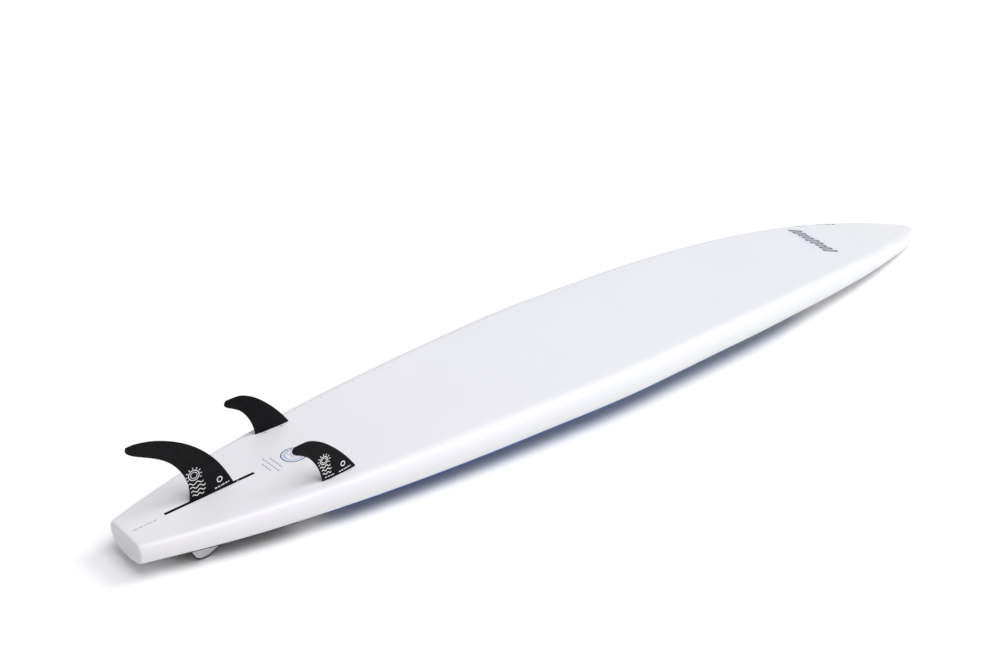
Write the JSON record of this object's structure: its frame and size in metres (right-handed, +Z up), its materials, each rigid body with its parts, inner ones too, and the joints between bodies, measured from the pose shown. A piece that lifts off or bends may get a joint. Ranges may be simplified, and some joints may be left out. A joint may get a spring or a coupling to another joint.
{
  "type": "stand-up paddle surfboard",
  "caption": "Long surfboard with a square tail and pointed nose, lying deck down: foam core in glass skins, sliding centre fin, side fins, deck pads, handle, vent and leash cup.",
  "frame": {"origin": "centre of the footprint on the floor, with the board lying deck down on its kick wedge and nose", "axes": "+X from tail to nose, +Z up out of the bottom, on the fins' side, +Y towards the right-hand rail as the bottom is seen with the nose ahead turned over"},
  "size_m": [3.807, 0.6484, 0.3335],
  "materials": {
    "hull_white": "gloss",
    "hull_deck": "gloss",
    "foam": "matte",
    "stringer_wood": "raw",
    "sandwich_panel": "matte",
    "fin_box_white": "satin",
    "dense_foam": "matte",
    "plug_white": "gloss",
    "dark_steel": "satin",
    "fitting_black": "satin",
    "steel": "satin",
    "seal_rubber": "matte",
    "membrane": "matte",
    "grip_rubber": "matte",
    "pad_blue": "matte",
    "pad_grey": "matte",
    "pad_grey_light": "matte",
    "fin_black": "satin",
    "brass": "satin"
  },
  "bodies": {
    "board": {"bottom_skin": "hull_white", "deck_skin": "hull_deck", "foam_core_left": "foam", "foam_core_right": "foam", "stringer": "stringer_wood", "deck_panel": "sandwich_panel", "fin_box": "fin_box_white", "fin_box_block": "dense_foam", "side_fin_plugs_left": "plug_white", "side_fin_plugs_right": "plug_white", "leash_cup": "fitting_black", "leash_pin": "steel", "vent_body": "fitting_black", "vent_membrane": "membrane", "handle_cup": "fitting_black", "handle_grip": "grip_rubber", "front_deck_pad": "pad_blue", "tail_pad": "pad_grey", "kick_wedge": "pad_grey_light"},
    "centre_fin_unit": {"centre_fin": "fin_black", "fin_roller_pin": "brass", "fin_plate_nut": "brass"},
    "fin_screw_unit": {"fin_screw": "steel"},
    "side_fin_left_unit": {"side_fin_left": "fin_black"},
    "side_fin_right_unit": {"side_fin_right": "fin_black"},
    "vent_screw_unit": {"vent_screw": "fitting_black", "vent_o_ring": "seal_rubber"},
    "left_rear_grub_unit": {"left_rear_grub_screw": "dark_steel"},
    "left_front_grub_unit": {"left_front_grub_screw": "dark_steel"},
    "right_rear_grub_unit": {"right_rear_grub_screw": "dark_steel"},
    "right_front_grub_unit": {"right_front_grub_screw": "dark_steel"}
  },
  "joints": [
    {"name": "centre_fin_slide", "type": "slide", "parent": "board", "child": "centre_fin_unit", "axis": [0.9983, 0, 0.058], "range_m": [-0.06, 0.036]},
    {"name": "fin_screw_turn", "type": "hinge", "parent": "centre_fin_unit", "child": "fin_screw_unit", "pos_m": [-1.58208, 0, 0.12008], "axis": [-0.058, 0, 0.9983], "continuous": true},
    {"name": "vent_screw_turn", "type": "hinge", "parent": "board", "child": "vent_screw_unit", "pos_m": [0.9565, 0, 0.04477], "axis": [-0.031, 0, -0.9995], "continuous": true},
    {"name": "side_fin_left_lift", "type": "slide", "parent": "board", "child": "side_fin_left_unit", "axis": [-0.0479, 0, 0.9989], "range_m": [0, 0.03]},
    {"name": "left_rear_grub_turn", "type": "hinge", "parent": "board", "child": "left_rear_grub_unit", "pos_m": [-1.40069, -0.1514, 0.13039], "axis": [-0.0511, 0.6583, 0.751], "continuous": true},
    {"name": "left_front_grub_turn", "type": "hinge", "parent": "board", "child": "left_front_grub_unit", "pos_m": [-1.34776, -0.15019, 0.13293], "axis": [-0.0511, 0.6583, 0.751], "continuous": true},
    {"name": "side_fin_right_lift", "type": "slide", "parent": "board", "child": "side_fin_right_unit", "axis": [-0.0479, 0, 0.9989], "range_m": [0, 0.03]},
    {"name": "right_rear_grub_turn", "type": "hinge", "parent": "board", "child": "right_rear_grub_unit", "pos_m": [-1.40069, 0.1514, 0.13039], "axis": [-0.0511, -0.6583, 0.751], "continuous": true},
    {"name": "right_front_grub_turn", "type": "hinge", "parent": "board", "child": "right_front_grub_unit", "pos_m": [-1.34776, 0.15019, 0.13293], "axis": [-0.0511, -0.6583, 0.751], "continuous": true}
  ]
}
